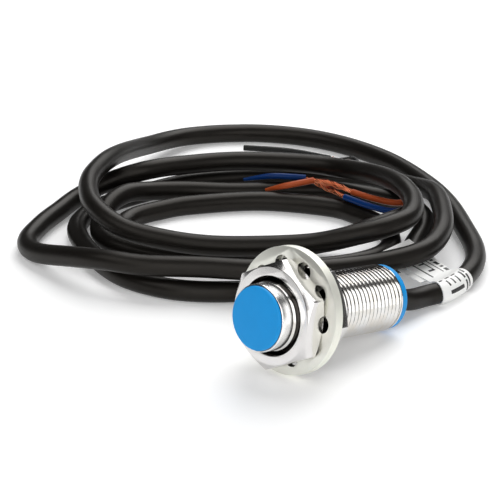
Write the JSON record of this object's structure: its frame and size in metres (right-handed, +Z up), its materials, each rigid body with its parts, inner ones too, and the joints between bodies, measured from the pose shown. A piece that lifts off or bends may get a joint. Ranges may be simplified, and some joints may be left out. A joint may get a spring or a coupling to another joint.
{
  "type": "proximity sensor",
  "caption": "Cylindrical threaded inductive proximity sensor with jam nuts, toothed lock washers, blue face and plug, and a coiled cable ending in stripped cores.",
  "frame": {"origin": "bottom centre of the sensor's bounding box, on the floor, without the cable", "axes": "-Y is the way the sensing face looks, +Z is up, +X is to the right seen from behind the sensor; the sensor lies nose-up on its rear washer and its rear plug"},
  "size_m": [0.1046, 0.0961, 0.0221],
  "materials": {
    "nickel_brass": "bright nickel plate on turned brass",
    "zinc_steel": "zinc plated, slightly warm",
    "blue_plastic": "moulded, smooth",
    "jacket": "extruded PVC, soft sheen",
    "paper": "printed film label",
    "brown_core": "extruded insulation",
    "blue_core": "extruded insulation",
    "black_core": "extruded insulation",
    "copper": "bare stranded copper",
    "ferrite": "sintered, dull",
    "bobbin": "moulded",
    "board": "solder mask on glass laminate",
    "chip": "moulded package",
    "chip_ceramic": "fired ceramic chip",
    "lens": "clear moulded lens",
    "crimp": "drawn sleeve"
  },
  "bodies": {
    "sensor": {"barrel": "nickel_brass", "face_cap": "blue_plastic", "ferrite_core": "ferrite", "coil_bobbin": "bobbin", "sensing_coil": "copper", "coil_leads": "copper", "circuit_board": "board", "oscillator_ic": "chip", "output_transistor": "chip", "chip_capacitors": "chip_ceramic", "chip_resistors": "chip", "indicator_led": "lens", "inner_lead_brown": "brown_core", "inner_lead_blue": "blue_core", "inner_lead_black": "black_core", "strain_collar": "crimp", "rear_plug": "blue_plastic", "cable_tail": "jacket", "cable_lead": "jacket", "cable_coil": "jacket", "cable_label": "paper", "core_brown": "brown_core", "core_blue": "blue_core", "core_black": "black_core", "strands_brown": "copper", "strands_blue": "copper", "strands_black": "copper", "slug_brown": "brown_core", "slug_blue": "blue_core", "slug_black": "black_core"},
    "front_washer": {"front_washer": "zinc_steel"},
    "front_nut": {"front_nut": "nickel_brass"},
    "rear_washer": {"rear_washer": "zinc_steel"},
    "rear_nut": {"rear_nut": "nickel_brass"}
  },
  "joints": [
    {"name": "front_washer_slide", "type": "slide", "parent": "sensor", "child": "front_washer", "axis": [0, -0.9797, 0.2006], "range_m": [0, 0.0031]},
    {"name": "front_nut_turn", "type": "hinge", "parent": "front_washer", "child": "front_nut", "pos_m": [0, -0.01063, 0.0112], "axis": [0, -0.9797, 0.2006], "range_deg": [0, 1080]},
    {"name": "rear_washer_slide", "type": "slide", "parent": "sensor", "child": "rear_washer", "axis": [0, 0.9797, -0.2006], "range_m": [0, 0.0161]},
    {"name": "rear_nut_turn", "type": "hinge", "parent": "rear_washer", "child": "rear_nut", "pos_m": [0, -0.00495, 0.01003], "axis": [0, 0.9797, -0.2006], "range_deg": [0, 5760]}
  ],
  "couplings": [
    {"joint": "front_washer_slide", "follows": "front_nut_turn", "m_per_rad": 0.00015915},
    {"joint": "rear_washer_slide", "follows": "rear_nut_turn", "m_per_rad": 0.00015915}
  ]
}
